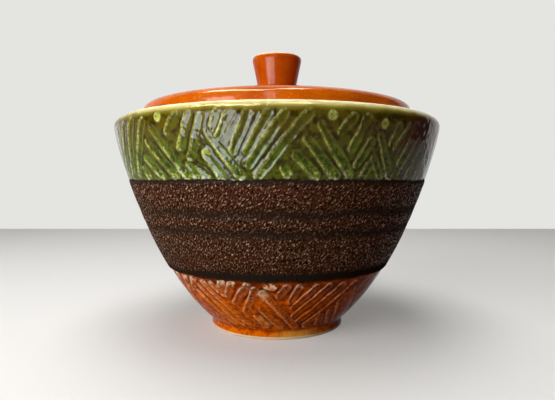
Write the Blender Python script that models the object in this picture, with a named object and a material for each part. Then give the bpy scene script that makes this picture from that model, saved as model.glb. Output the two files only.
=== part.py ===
"""Covered bowl in glazed stoneware: a turned bowl on a low foot ring, and an inset lid with a knob.

Metres, +Z up. The bowl stands on Z = 0, and every piece is turned about the Z axis.
Run it with blender --background --python part.py, or from Blender's text editor.
"""

import math

import bmesh
import bpy

# Foot ring
FOOT_RADIUS = 0.0358
FOOT_FACE_HEIGHT = 0.0034
FOOT_WIDTH = 0.0070
FOOT_RECESS = 0.0034
FOOT_CHAMFER = 0.0004
BARE_CLAY_HEIGHT = 0.0012

# Outside of the bowl's wall, from just above the foot ring to the widest point
WALL_START_RADIUS = 0.0378
WALL_START_HEIGHT = 0.0060
WALL_START_LEAN = math.radians(45.7)
WALL_START_PULL = 0.0450
RIM_RADIUS = 0.0850
RIM_WIDEST_HEIGHT = 0.1040
RIM_PULL = 0.0055

# Lip: from the widest point up over its crest, and down on the inside to the gallery
LIP_RISE = 0.0049
LIP_OUTER_WIDTH = 0.0062
LIP_INNER_WIDTH = 0.0064
LIP_INNER_DROP = 0.0036

# Heights at which one glaze gives way to the next
RUST_GLAZE_TOP = 0.0327
GREEN_GLAZE_BOTTOM = 0.0779

# The dark slip between them is laid on thickly and stands proud of the two glazes
DARK_SLIP_THICKNESS = 0.0006
DARK_SLIP_EDGE = 0.0012

# Inside of the bowl
WALL_THICKNESS = 0.0058
FLOOR_THICKNESS = 0.0066
FLOOR_FILLET = 0.0240

# Gallery: the seat inside the rim that carries the lid
SEAT_DEPTH = 0.0056
SEAT_WIDTH = 0.0070
SEAT_THICKNESS = 0.0050
SEAT_NOSE = 0.0016
SEAT_CORNER = 0.0008
SEAT_TAPER = 0.0120

# Lid, which lies in the gallery with some play round it
LID_PLAY = 0.0012
LID_EDGE_HEIGHT = 0.0105
LID_EDGE_PULL = 0.0033
LID_CROWN = 0.0077
LID_CROWN_PULL = 0.0310
LID_SKIRT = 0.0062
LID_THICKNESS = 0.0060
LID_UNDER_PULL = 0.0060
LID_CHAMFER = 0.0009

# Knob
KNOB_FOOT_RADIUS = 0.0112
KNOB_SEAT_MARGIN = 0.0012
KNOB_FOOT_EDGE = 0.0005
KNOB_WAIST_RADIUS = 0.0096
KNOB_WAIST_HEIGHT = 0.0026
KNOB_RADIUS = 0.0132
KNOB_HEIGHT = 0.0230
KNOB_SHOULDER = 0.0037
KNOB_SHOULDER_WIDTH = 0.0027
KNOB_TOP_RISE = 0.0002

# Pieces that rest on each other, or are stuck together with slip, keep this gap
REST_GAP = 0.0003

# Facets
BOWL_SIDES = 64
LID_SIDES = 64
KNOB_SIDES = 40
WELD = 1e-6
HALVINGS = 50
RECESS_STEPS = 3
FOOT_STEPS = 4
BAND_STEPS = 5
SLIP_STEPS = 6
LIP_STEPS = 6
LIP_INNER_STEPS = 4
SEAT_CORNER_STEPS = 2
SEAT_NOSE_STEPS = 3
SEAT_SLOPE_STEPS = 4
INSIDE_STEPS = 8
FLOOR_FILLET_STEPS = 5
LID_UNDER_STEPS = 8
LID_CROWN_STEPS = 10
KNOB_FOOT_STEPS = 4
KNOB_SHOULDER_STEPS = 6
KNOB_TOP_STEPS = 3
SMOOTH_UNDER = math.radians(35)

# Share of the way to its corner at which a curve's pull makes a quarter of a circle
CIRCLE_PULL = 0.5523

# Glazes: base colour, roughness
GLAZES = {
    "rust_glaze": ((0.42, 0.115, 0.012, 1.0), 0.16),
    "dark_slip": ((0.040, 0.022, 0.012, 1.0), 0.62),
    "green_glaze": ((0.120, 0.100, 0.018, 1.0), 0.14),
    "cream_glaze": ((0.76, 0.70, 0.47, 1.0), 0.18),
    "bare_clay": ((0.44, 0.27, 0.15, 1.0), 0.80),
}

RIM_HEIGHT = RIM_WIDEST_HEIGHT + LIP_RISE
RIM_CREST_RADIUS = RIM_RADIUS - LIP_OUTER_WIDTH
GALLERY_RADIUS = RIM_CREST_RADIUS - LIP_INNER_WIDTH
SEAT_HEIGHT = RIM_HEIGHT - SEAT_DEPTH
LID_RADIUS = GALLERY_RADIUS - LID_PLAY
LID_BOTTOM = SEAT_HEIGHT + REST_GAP
LID_EDGE_TOP = LID_BOTTOM + LID_EDGE_HEIGHT
LID_TOP = LID_EDGE_TOP + LID_CROWN
KNOB_BOTTOM = LID_TOP + REST_GAP


def bezier(start, pull_start, pull_end, end, steps):
    """Points of a cubic curve, both ends included."""
    points = []
    for i in range(steps + 1):
        t = i / steps
        weights = ((1 - t) ** 3, 3 * t * (1 - t) ** 2, 3 * t * t * (1 - t), t ** 3)
        corners = (start, pull_start, pull_end, end)
        points.append(tuple(sum(w * c[k] for w, c in zip(weights, corners)) for k in (0, 1)))
    return points


def rounded(start, corner, end, steps):
    """A quarter of an ellipse from start to end, whose tangents there meet at the corner."""
    pulls = []
    for point in (start, end):
        pulls.append(tuple(p + CIRCLE_PULL * (c - p) for p, c in zip(point, corner)))
    return bezier(start, pulls[0], pulls[1], end, steps)


def wall_corners():
    """The four corners of the curve that the outside of the wall follows."""
    start = (WALL_START_RADIUS, WALL_START_HEIGHT)
    along = (math.sin(WALL_START_LEAN), math.cos(WALL_START_LEAN))
    pull_start = tuple(s + WALL_START_PULL * a for s, a in zip(start, along))
    end = (RIM_RADIUS, RIM_WIDEST_HEIGHT)
    pull_end = (RIM_RADIUS, RIM_WIDEST_HEIGHT - RIM_PULL)
    return start, pull_start, pull_end, end


def wall_point(t, inset=0.0):
    """The wall's outside at t from 0 to 1, moved inwards along its normal by the inset."""
    a, b, c, d = wall_corners()
    point = []
    slope = []
    for k in (0, 1):
        point.append(
            a[k] * (1 - t) ** 3 + 3 * b[k] * t * (1 - t) ** 2 + 3 * c[k] * t * t * (1 - t) + d[k] * t ** 3
        )
        slope.append(
            (b[k] - a[k]) * (1 - t) ** 2 + 2 * (c[k] - b[k]) * t * (1 - t) + (d[k] - c[k]) * t * t
        )
    length = math.hypot(*slope)
    return point[0] - inset * slope[1] / length, point[1] + inset * slope[0] / length


def wall_place(height, inset=0.0):
    """The t at which the wall, moved inwards by the inset, reaches a height."""
    low, high = 0.0, 1.0
    for _ in range(HALVINGS):
        middle = (low + high) / 2
        if wall_point(middle, inset)[1] < height:
            low = middle
        else:
            high = middle
    return low


def wall_run(first, last, steps, inset=0.0):
    """Points of the wall from one place on it to another."""
    return [wall_point(first + (last - first) * i / steps, inset) for i in range(steps + 1)]


def foot_sections():
    """The foot ring, from the middle of its recess out to the start of the wall."""
    inner = FOOT_RADIUS - FOOT_WIDTH
    recess = [(0.0, FOOT_RECESS)]
    recess += rounded(
        (inner - (FOOT_RECESS - FOOT_CHAMFER), FOOT_RECESS),
        (inner, FOOT_RECESS),
        (inner, FOOT_CHAMFER),
        RECESS_STEPS,
    )
    ring = [
        (inner, FOOT_CHAMFER),
        (inner + FOOT_CHAMFER, 0.0),
        (FOOT_RADIUS - FOOT_CHAMFER, 0.0),
        (FOOT_RADIUS, FOOT_CHAMFER),
        (FOOT_RADIUS, BARE_CLAY_HEIGHT),
    ]
    start = (WALL_START_RADIUS, WALL_START_HEIGHT)
    back = math.dist(start, (FOOT_RADIUS, FOOT_FACE_HEIGHT)) / 2
    along = (math.sin(WALL_START_LEAN), math.cos(WALL_START_LEAN))
    face = [(FOOT_RADIUS, BARE_CLAY_HEIGHT)]
    face += bezier(
        (FOOT_RADIUS, FOOT_FACE_HEIGHT),
        (FOOT_RADIUS, FOOT_FACE_HEIGHT + back * along[1]),
        tuple(s - back * a for s, a in zip(start, along)),
        start,
        FOOT_STEPS,
    )
    return [("rust_glaze", recess), ("bare_clay", ring), ("rust_glaze", face)]


def outside_sections():
    """The three glaze bands of the outer wall and the outer half of the lip."""
    rust_end = wall_place(RUST_GLAZE_TOP)
    green_start = wall_place(GREEN_GLAZE_BOTTOM)
    slip_start = wall_place(RUST_GLAZE_TOP + DARK_SLIP_EDGE)
    slip_end = wall_place(GREEN_GLAZE_BOTTOM - DARK_SLIP_EDGE)
    slip = wall_run(slip_start, slip_end, SLIP_STEPS, -DARK_SLIP_THICKNESS)
    lip = rounded(
        (RIM_RADIUS, RIM_WIDEST_HEIGHT),
        (RIM_RADIUS, RIM_HEIGHT),
        (RIM_CREST_RADIUS, RIM_HEIGHT),
        LIP_STEPS,
    )
    return [
        ("rust_glaze", wall_run(0.0, rust_end, BAND_STEPS)),
        ("dark_slip", [wall_point(rust_end)] + slip + [wall_point(green_start)]),
        ("green_glaze", wall_run(green_start, 1.0, BAND_STEPS)),
        ("green_glaze", lip),
    ]


def gallery_sections():
    """The inner half of the lip, the seat for the lid, and the slope that carries the seat."""
    nose_radius = GALLERY_RADIUS - SEAT_WIDTH
    lip = rounded(
        (RIM_CREST_RADIUS, RIM_HEIGHT),
        (GALLERY_RADIUS, RIM_HEIGHT),
        (GALLERY_RADIUS, RIM_HEIGHT - LIP_INNER_DROP),
        LIP_INNER_STEPS,
    )
    corner = rounded(
        (GALLERY_RADIUS, SEAT_HEIGHT + SEAT_CORNER),
        (GALLERY_RADIUS, SEAT_HEIGHT),
        (GALLERY_RADIUS - SEAT_CORNER, SEAT_HEIGHT),
        SEAT_CORNER_STEPS,
    )
    nose = rounded(
        (nose_radius + SEAT_NOSE, SEAT_HEIGHT),
        (nose_radius, SEAT_HEIGHT),
        (nose_radius, SEAT_HEIGHT - SEAT_NOSE),
        SEAT_NOSE_STEPS,
    )
    joins = wall_point(wall_place(SEAT_HEIGHT - SEAT_THICKNESS - SEAT_TAPER, WALL_THICKNESS), WALL_THICKNESS)
    nose_end = (nose_radius, SEAT_HEIGHT - SEAT_THICKNESS)
    slope = bezier(
        nose_end,
        (nose_radius, nose_end[1] - SEAT_TAPER / 3),
        (joins[0], joins[1] + SEAT_TAPER / 3),
        joins,
        SEAT_SLOPE_STEPS,
    )
    return [
        ("cream_glaze", lip + corner[:1]),
        ("bare_clay", corner + nose),
        ("cream_glaze", nose[-1:] + slope),
    ]


def inside_section():
    """The inside of the wall, from under the gallery down to the middle of the floor."""
    floor = FOOT_RECESS + FLOOR_THICKNESS
    centre_inset = WALL_THICKNESS + FLOOR_FILLET
    leaves = wall_place(floor + FLOOR_FILLET, centre_inset)
    centre = wall_point(leaves, centre_inset)
    touches = wall_point(leaves, WALL_THICKNESS)
    top = wall_place(SEAT_HEIGHT - SEAT_THICKNESS - SEAT_TAPER, WALL_THICKNESS)
    wall = wall_run(top, leaves, INSIDE_STEPS, WALL_THICKNESS)
    first = math.atan2(touches[1] - centre[1], touches[0] - centre[0])
    fillet = []
    for i in range(1, FLOOR_FILLET_STEPS + 1):
        angle = first + (-math.pi / 2 - first) * i / FLOOR_FILLET_STEPS
        across, up = FLOOR_FILLET * math.cos(angle), FLOOR_FILLET * math.sin(angle)
        fillet.append((centre[0] + across, centre[1] + up))
    return [("cream_glaze", wall + fillet + [(0.0, floor)])]


def lid_sections():
    """The lid: a flat-bottomed skirt that sits in the gallery, a soft shoulder and a shallow crown."""
    skirt = LID_RADIUS - LID_SKIRT
    flat = KNOB_FOOT_RADIUS + KNOB_SEAT_MARGIN
    under = bezier(
        (0.0, LID_TOP - LID_THICKNESS),
        (skirt - LID_CROWN_PULL, LID_TOP - LID_THICKNESS),
        (skirt, LID_BOTTOM + LID_CHAMFER + LID_UNDER_PULL),
        (skirt, LID_BOTTOM + LID_CHAMFER),
        LID_UNDER_STEPS,
    )
    ring = [
        (skirt, LID_BOTTOM + LID_CHAMFER),
        (skirt + LID_CHAMFER, LID_BOTTOM),
        (LID_RADIUS - LID_CHAMFER, LID_BOTTOM),
        (LID_RADIUS, LID_BOTTOM + LID_CHAMFER),
    ]
    top = bezier(
        (LID_RADIUS, LID_EDGE_TOP),
        (LID_RADIUS, LID_EDGE_TOP + LID_EDGE_PULL),
        (flat + LID_CROWN_PULL, LID_TOP),
        (flat, LID_TOP),
        LID_CROWN_STEPS,
    )
    return [
        ("rust_glaze", under),
        ("bare_clay", ring),
        ("rust_glaze", [ring[-1]] + top + [(0.0, LID_TOP)]),
    ]


def knob_sections():
    """The knob: a small foot, a waist, a flared cone and a flat top with a soft edge."""
    top = KNOB_BOTTOM + KNOB_HEIGHT
    shoulder = (KNOB_RADIUS, top - KNOB_SHOULDER - KNOB_TOP_RISE)
    waist = (KNOB_WAIST_RADIUS, KNOB_BOTTOM + KNOB_WAIST_HEIGHT)
    lean = (shoulder[0] - waist[0]) / (shoulder[1] - waist[1])
    rise = KNOB_WAIST_HEIGHT / 2
    foot = bezier(
        (KNOB_FOOT_RADIUS, KNOB_BOTTOM + KNOB_FOOT_EDGE),
        (KNOB_WAIST_RADIUS + KNOB_FOOT_EDGE, KNOB_BOTTOM + KNOB_FOOT_EDGE),
        (waist[0] - lean * rise, waist[1] - rise),
        waist,
        KNOB_FOOT_STEPS,
    )
    cap_radius = KNOB_RADIUS - KNOB_SHOULDER_WIDTH
    pull = CIRCLE_PULL * KNOB_SHOULDER
    edge = bezier(
        shoulder,
        (shoulder[0] + lean * pull, shoulder[1] + pull),
        (cap_radius + CIRCLE_PULL * KNOB_SHOULDER_WIDTH, top - KNOB_TOP_RISE),
        (cap_radius, top - KNOB_TOP_RISE),
        KNOB_SHOULDER_STEPS,
    )
    cap = bezier(
        (cap_radius, top - KNOB_TOP_RISE),
        (cap_radius * 2 / 3, top - KNOB_TOP_RISE / 3),
        (cap_radius / 3, top),
        (0.0, top),
        KNOB_TOP_STEPS,
    )
    under = [(0.0, KNOB_BOTTOM), (KNOB_FOOT_RADIUS, KNOB_BOTTOM)]
    return [("rust_glaze", under + foot + edge + cap[1:])]


def glaze_material(name):
    """The named glaze as a material, made once."""
    found = bpy.data.materials.get(name)
    if found:
        return found
    colour, roughness = GLAZES[name]
    material = bpy.data.materials.new(name)
    material.use_nodes = True
    shader = next(n for n in material.node_tree.nodes if n.type == "BSDF_PRINCIPLED")
    shader.inputs["Base Color"].default_value = colour
    shader.inputs["Roughness"].default_value = roughness
    shader.inputs["Metallic"].default_value = 0.0
    material.diffuse_color = colour
    return material


def turned(name, sections, sides):
    """One closed solid turned about Z from (glaze, points) sections, which follow on from each other."""
    glazes = []
    mesh = bmesh.new()
    for glaze, points in sections:
        if glaze not in glazes:
            glazes.append(glaze)
        before = set(mesh.faces)
        chain = [mesh.verts.new((radius, 0.0, height)) for radius, height in points]
        edges = [mesh.edges.new(pair) for pair in zip(chain, chain[1:])]
        bmesh.ops.spin(
            mesh,
            geom=chain + edges,
            cent=(0.0, 0.0, 0.0),
            axis=(0.0, 0.0, 1.0),
            angle=2 * math.pi,
            steps=sides,
            use_merge=True,
        )
        for face in set(mesh.faces) - before:
            face.material_index = glazes.index(glaze)
    bmesh.ops.remove_doubles(mesh, verts=mesh.verts, dist=WELD)
    bmesh.ops.recalc_face_normals(mesh, faces=mesh.faces)
    data = bpy.data.meshes.new(name)
    mesh.to_mesh(data)
    mesh.free()
    for glaze in glazes:
        data.materials.append(glaze_material(glaze))
    data.shade_smooth()
    data.set_sharp_from_angle(angle=SMOOTH_UNDER)
    piece = bpy.data.objects.new(name, data)
    bpy.context.scene.collection.objects.link(piece)
    return piece


def main():
    for old in list(bpy.data.objects):
        bpy.data.objects.remove(old)
    bowl_sections = foot_sections() + outside_sections() + gallery_sections() + inside_section()
    turned("bowl", bowl_sections, BOWL_SIDES)
    lid = turned("lid", lid_sections(), LID_SIDES)
    knob = turned("lid_knob", knob_sections(), KNOB_SIDES)
    knob.parent = lid


main()
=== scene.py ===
"""Looks of the covered bowl: two hatched bands of glaze, dark slip between them, a glossy lid and knob.

Metres, +Z up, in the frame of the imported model. Angles round the bowl are measured from the front, which
faces -Y, and grow towards +X.
"""

import math
from types import SimpleNamespace

import bpy
import numpy as np
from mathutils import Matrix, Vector


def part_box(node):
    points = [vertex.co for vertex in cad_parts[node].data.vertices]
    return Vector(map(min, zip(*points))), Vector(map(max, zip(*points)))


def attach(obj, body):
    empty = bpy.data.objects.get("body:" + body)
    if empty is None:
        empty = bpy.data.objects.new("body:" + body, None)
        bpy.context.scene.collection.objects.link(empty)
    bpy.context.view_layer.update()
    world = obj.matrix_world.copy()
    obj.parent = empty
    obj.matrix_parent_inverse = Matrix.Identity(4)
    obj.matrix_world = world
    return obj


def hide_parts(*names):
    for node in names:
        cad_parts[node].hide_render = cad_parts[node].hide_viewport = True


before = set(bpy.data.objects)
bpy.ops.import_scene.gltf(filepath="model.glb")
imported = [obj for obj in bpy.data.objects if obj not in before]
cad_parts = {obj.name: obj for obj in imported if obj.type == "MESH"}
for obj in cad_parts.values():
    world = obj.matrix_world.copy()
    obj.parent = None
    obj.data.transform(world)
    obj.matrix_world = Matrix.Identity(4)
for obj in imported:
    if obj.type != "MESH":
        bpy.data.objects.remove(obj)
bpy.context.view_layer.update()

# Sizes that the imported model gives
RIM_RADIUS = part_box("bowl")[1].x
RIM_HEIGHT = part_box("bowl")[1].z
LID_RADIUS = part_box("lid")[1].x
LID_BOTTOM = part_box("lid")[0].z
LID_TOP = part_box("lid")[1].z
KNOB_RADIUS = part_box("lid_knob")[1].x
KNOB_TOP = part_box("lid_knob")[1].z

# Foot ring
FOOT_RADIUS = 0.0358
FOOT_FACE_HEIGHT = 0.0034
FOOT_WIDTH = 0.007
FOOT_RECESS = 0.0034
FOOT_CHAMFER = 0.0004
BARE_CLAY_HEIGHT = 0.0012

# Outside of the bowl's wall
WALL_START = np.array([0.0378, 0.006])
WALL_START_LEAN = math.radians(45.7)
WALL_START_WAY = np.array([math.sin(WALL_START_LEAN), math.cos(WALL_START_LEAN)])
WALL_START_PULL = 0.045
LIP_RISE = 0.0049
LIP_OUTER_WIDTH = 0.0062
LIP_INNER_WIDTH = 0.0064
LIP_INNER_DROP = 0.0036
RIM_PULL = 0.0055
RIM_WIDEST_HEIGHT = RIM_HEIGHT - LIP_RISE
RIM_CREST_RADIUS = RIM_RADIUS - LIP_OUTER_WIDTH

# Bands of glaze
RUST_TOP = 0.0327
GREEN_BOTTOM = 0.0779
SLIP_THICKNESS = 0.0006
SLIP_EDGE = 0.0012
SLIP_TOP_SHARE = 0.25

# Inside of the bowl and the gallery for the lid
WALL_THICKNESS = 0.0058
FLOOR_HEIGHT = FOOT_RECESS + 0.0066
FLOOR_FILLET = 0.024
GALLERY_RADIUS = RIM_CREST_RADIUS - LIP_INNER_WIDTH
SEAT_HEIGHT = RIM_HEIGHT - 0.0056
SEAT_NOSE_RADIUS = GALLERY_RADIUS - 0.007
SEAT_THICKNESS = 0.005
SEAT_NOSE = 0.0016
SEAT_CORNER = 0.0008
SEAT_TAPER = 0.012

# Lid
LID_EDGE_TOP = LID_BOTTOM + 0.0105
LID_EDGE_PULL = 0.0033
LID_CROWN_PULL = 0.031
LID_SHOULDER_LOW = LID_BOTTOM + 0.0076
LID_SHOULDER_TOP = LID_BOTTOM + 0.0129
LID_SHOULDER_PULL = 0.0028
LID_SHOULDER_BACK = 0.0035
LID_SKIRT = 0.0062
LID_THICKNESS = 0.006
LID_UNDER_PULL = 0.006
LID_CHAMFER = 0.0009

# Knob. Its foot's three points are (radius, height over the lid's top)
KNOB_SEAT_RADIUS = 0.0124
KNOB_FOOT = (KNOB_SEAT_RADIUS - 0.0002, -0.00005)
KNOB_FOOT_PULL = (0.0112, 0.0001)
KNOB_WAIST = (0.0096, 0.0026)
KNOB_WAIST_PULL = 0.62 * KNOB_WAIST[1]
KNOB_SHOULDER = 0.0028
KNOB_SHOULDER_WIDTH = 0.002
KNOB_TOP_RISE = 0.0002

# Share of the way to its corner at which a curve's pull makes a quarter of a circle
CIRCLE_PULL = 0.5523
AXIS_HOLE = 0.0006

# A distance that stands for nothing near, and how many radians beyond its ends a stroke is looked for
FAR = 0.02
STROKE_REACH = 0.12

# What the wall's points are told of the strokes and the slip, with the values of a plain surface
ATTRIBUTES = {"edge": FAR, "beyond": FAR, "right": 0.0, "low": 0.0, "cover": 0.0}

# Heights between which each band's strokes are pressed
RUST_HATCH = (0.005, 0.035)
GREEN_HATCH = (0.076, RIM_HEIGHT - 0.002)

# How far, in radians, a dot's hollow is off its middle to the right
DOT_LEAN = 0.012

# What marks a dot where other strokes have their share of the way to the lower end
DOT_MARK = 1.5

# Spots on the front where the rust glaze ran thin and pale, as x, height and half width
THIN_SPOTS = ((-0.006, 0.0264, 0.0042), (-0.0076, 0.0124, 0.0036), (-0.0046, 0.0096, 0.003))

# Heights at which the slip was wiped thinner as the bowl turned
STREAKS = (0.0638, 0.0552)
STREAK_WIDTH = 0.0026
STREAK_DEPTH = 0.00012

# Mesh density: columns round each surface, and the spacing of the rows
FINE_COLUMNS = 960
COARSE_COLUMNS = 160
LID_COLUMNS = 288
KNOB_COLUMNS = 144
HATCH_ROW = 0.00048
SLIP_ROW = 0.00085
PLAIN_ROW = 0.0016
LIP_ROW = 0.0006
CORNER_STEPS = 3

# Relief of the strokes. The tool was held aslant: it raised a broad, soft ridge on a stroke's left, cut
# deepest on its right, and left a thin ridge there. Pairs are (left, right).
RIDGE_HEIGHT = (0.00022, 0.0001)
RIDGE_WIDTH = (0.0007, 0.00036)
RIDGE_INSET = (0.0004, 0.00005)
CUT_DEPTH = (0.00006, 0.0003)
CUT_SLOPE = (0.0015, 0.00065)
VALLEY_DEPTH = 0.0001
VALLEY_WIDTH = 0.0007

# Where the glaze ran smoother over the strokes on both sides: from where, fully from where and to where, in
# degrees, and how much of the relief it hides
CALM_SIDES = ((36, 52, 84, 0.94), (-54, -66, -90, 0.8))

# Camera
CAMERA_PLACE = (0.0003, -0.2649, 0.0779)
CAMERA_TILT = math.radians(2.44)
LENS = 31.0
SENSOR = 36.0


def srgb(*colour):
    """A colour given as red, green and blue from 0 to 255 on the screen, as linear RGBA."""
    shares = [value / 255 for value in colour]
    return (*(s / 12.92 if s <= 0.04045 else ((s + 0.055) / 1.055) ** 2.4 for s in shares), 1.0)


def smooth(low, high, value):
    """0 below low, 1 above high, with a soft step between them."""
    share = np.clip((value - low) / (high - low), 0.0, 1.0)
    return share * share * (3 - 2 * share)


def new_object(name, data):
    """An object in the scene that holds the data."""
    made = bpy.data.objects.new(name, data)
    bpy.context.scene.collection.objects.link(made)
    return made


# Profiles are paths of (radius, height)


def run_of(path):
    """Length along a path at each of its points."""
    return np.concatenate([[0.0], np.cumsum(np.hypot(*np.diff(path, axis=0).T))])


def respaced(points, row):
    """The same path in even steps of about the row spacing."""
    points = np.array(points, float)
    along = run_of(points)
    places = np.linspace(0, along[-1], max(1, round(along[-1] / row)) + 1)
    return np.stack([np.interp(places, along, points[:, k]) for k in (0, 1)], axis=1)


def cubic(*corners, count=400):
    """Many points of a cubic curve, both ends included."""
    a, b, c, d = (np.array(p, float) for p in corners)
    t = np.linspace(0, 1, count)[:, None]
    return a * (1 - t) ** 3 + 3 * b * t * (1 - t) ** 2 + 3 * c * t * t * (1 - t) + d * t ** 3


def rounded(start, end, row, level=False):
    """A quarter of an ellipse. It sets out level where that is asked for, and upright elsewhere."""
    corner = np.array([end[0], start[1]] if level else [start[0], end[1]])
    pulls = [p + CIRCLE_PULL * (corner - p) for p in (np.array(start), np.array(end))]
    return respaced(cubic(start, *pulls, end), row)


def joined(*paths):
    """Paths that follow on from each other, as one path without doubled points."""
    whole = [paths[0]]
    for last, path in zip(paths, paths[1:]):
        doubled = np.allclose(path[0], last[-1], atol=1e-7)
        whole.append(path[1:] if doubled else path)
    return np.concatenate(whole)


def normals(path):
    """Unit normals of a path, on the right of its direction."""
    slope = np.gradient(path, axis=0)
    return np.stack([slope[:, 1], -slope[:, 0]], axis=1) / np.hypot(*slope.T)[:, None]


def between(path, low, high):
    """The part of a rising path between two heights."""
    heights = path[:, 1]
    ends = [[np.interp(h, heights, path[:, 0]), h] for h in (low, high)]
    inner = path[(heights > low) & (heights < high)]
    return np.concatenate([ends[:1], inner, ends[1:]])


def wall_curve(inset=0.0):
    """The wall's outside from the foot to the widest point, moved inwards by the inset."""
    end = np.array([RIM_RADIUS, RIM_WIDEST_HEIGHT])
    pulls = (WALL_START + WALL_START_PULL * WALL_START_WAY, end - [0.0, RIM_PULL])
    path = cubic(WALL_START, *pulls, end, count=4000)
    return path - inset * normals(path)


def underside_path():
    """From the middle of the foot's recess to the inner edge of the ring it stands on."""
    inner = FOOT_RADIUS - FOOT_WIDTH
    side = (inner, FOOT_CHAMFER)
    cove = rounded((inner - FOOT_RECESS + FOOT_CHAMFER, FOOT_RECESS), side, LIP_ROW, level=True)
    edge = rounded(side, (inner + FOOT_CHAMFER, 0.0), FOOT_CHAMFER / CORNER_STEPS)
    return joined(respaced([(AXIS_HOLE, FOOT_RECESS), cove[0]], PLAIN_ROW), cove, edge)


def outside_path():
    """From the outer edge of the foot's bottom up the wall, over the lip and down to the seat's corner."""
    row = FOOT_CHAMFER / CORNER_STEPS
    edge = rounded((FOOT_RADIUS - FOOT_CHAMFER, 0.0), (FOOT_RADIUS, FOOT_CHAMFER), row, level=True)
    face = respaced([edge[-1], (FOOT_RADIUS, FOOT_FACE_HEIGHT)], HATCH_ROW)
    back = math.dist(WALL_START, face[-1]) / 2
    pulls = (face[-1] + [0.0, back * WALL_START_WAY[1]], WALL_START - back * WALL_START_WAY)
    flare = respaced(cubic(face[-1], *pulls, WALL_START), HATCH_ROW)
    wall = wall_curve()
    rust = respaced(between(wall, WALL_START[1], RUST_TOP), HATCH_ROW)
    slip = respaced(between(wall, RUST_TOP, GREEN_BOTTOM), SLIP_ROW)
    green = respaced(between(wall, GREEN_BOTTOM, RIM_WIDEST_HEIGHT), HATCH_ROW)
    crest = (RIM_CREST_RADIUS, RIM_HEIGHT)
    outer = rounded((RIM_RADIUS, RIM_WIDEST_HEIGHT), crest, LIP_ROW)
    inner = rounded(crest, (GALLERY_RADIUS, RIM_HEIGHT - LIP_INNER_DROP), LIP_ROW, level=True)
    seat = (GALLERY_RADIUS - SEAT_CORNER, SEAT_HEIGHT)
    corner = rounded((GALLERY_RADIUS, SEAT_HEIGHT + SEAT_CORNER), seat, SEAT_CORNER / CORNER_STEPS)
    return joined(edge, face, flare, rust, slip, green, outer, inner, corner)


def inside_path():
    """From the seat's nose down the inside of the wall to near the middle of the floor."""
    under = (SEAT_NOSE_RADIUS, SEAT_HEIGHT - SEAT_NOSE)
    nose = rounded((SEAT_NOSE_RADIUS + SEAT_NOSE, SEAT_HEIGHT), under, LIP_ROW, level=True)
    wall = wall_curve(WALL_THICKNESS)
    low = SEAT_HEIGHT - SEAT_THICKNESS - SEAT_TAPER
    joins = np.array([np.interp(low, wall[:, 1], wall[:, 0]), low])
    end = np.array([SEAT_NOSE_RADIUS, SEAT_HEIGHT - SEAT_THICKNESS])
    drop = np.array([0.0, SEAT_TAPER / 3])
    slope = respaced(cubic(end, end - drop, joins + drop, joins), PLAIN_ROW)
    centres = wall_curve(WALL_THICKNESS + FLOOR_FILLET)
    k = int(np.argmin(np.abs(centres[:, 1] - FLOOR_HEIGHT - FLOOR_FILLET)))
    down = respaced(between(wall, wall[k, 1], low)[::-1], PLAIN_ROW)
    first = math.atan2(wall[k, 1] - centres[k, 1], wall[k, 0] - centres[k, 0])
    angles = np.linspace(first, -math.pi / 2, 60)
    fillet = centres[k] + FLOOR_FILLET * np.stack([np.cos(angles), np.sin(angles)], axis=1)
    floor = respaced([fillet[-1], (AXIS_HOLE, FLOOR_HEIGHT)], PLAIN_ROW)
    return joined(nose, slope, down, respaced(fillet, PLAIN_ROW), floor)


def lid_path():
    """The lid from its underside's middle, round the skirt and over the crown to its top's middle."""
    skirt = LID_RADIUS - LID_SKIRT
    under_top = LID_TOP - LID_THICKNESS
    low = LID_BOTTOM + LID_CHAMFER
    pulls = ((skirt - LID_CROWN_PULL, under_top), (skirt, low + LID_UNDER_PULL))
    under = respaced(cubic((AXIS_HOLE, under_top), *pulls, (skirt, low)), PLAIN_ROW)
    row = LID_CHAMFER / CORNER_STEPS
    inner = rounded((skirt, low), (skirt + LID_CHAMFER, LID_BOTTOM), row)
    outer = rounded((LID_RADIUS - LID_CHAMFER, LID_BOTTOM), (LID_RADIUS, low), row, level=True)
    side = respaced([(LID_RADIUS, low), (LID_RADIUS, LID_SHOULDER_LOW)], LIP_ROW * 2)
    pulls = ((LID_RADIUS, LID_EDGE_TOP + LID_EDGE_PULL), (KNOB_SEAT_RADIUS + LID_CROWN_PULL, LID_TOP))
    top = cubic((LID_RADIUS, LID_EDGE_TOP), *pulls, (KNOB_SEAT_RADIUS, LID_TOP))
    k = int(np.argmax(top[:, 1] > LID_SHOULDER_TOP))
    slope = (top[k + 1] - top[k]) / math.dist(top[k + 1], top[k])
    pulls = ((LID_RADIUS, LID_SHOULDER_LOW + LID_SHOULDER_PULL), top[k] - LID_SHOULDER_BACK * slope)
    shoulder = respaced(cubic((LID_RADIUS, LID_SHOULDER_LOW), *pulls, top[k]), LIP_ROW / 2)
    top = respaced(top[k:], LIP_ROW * 1.5)
    middle = respaced([(KNOB_SEAT_RADIUS, LID_TOP), (AXIS_HOLE, LID_TOP)], PLAIN_ROW)
    return joined(under, inner, outer, side, shoulder, top, middle)


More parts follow.
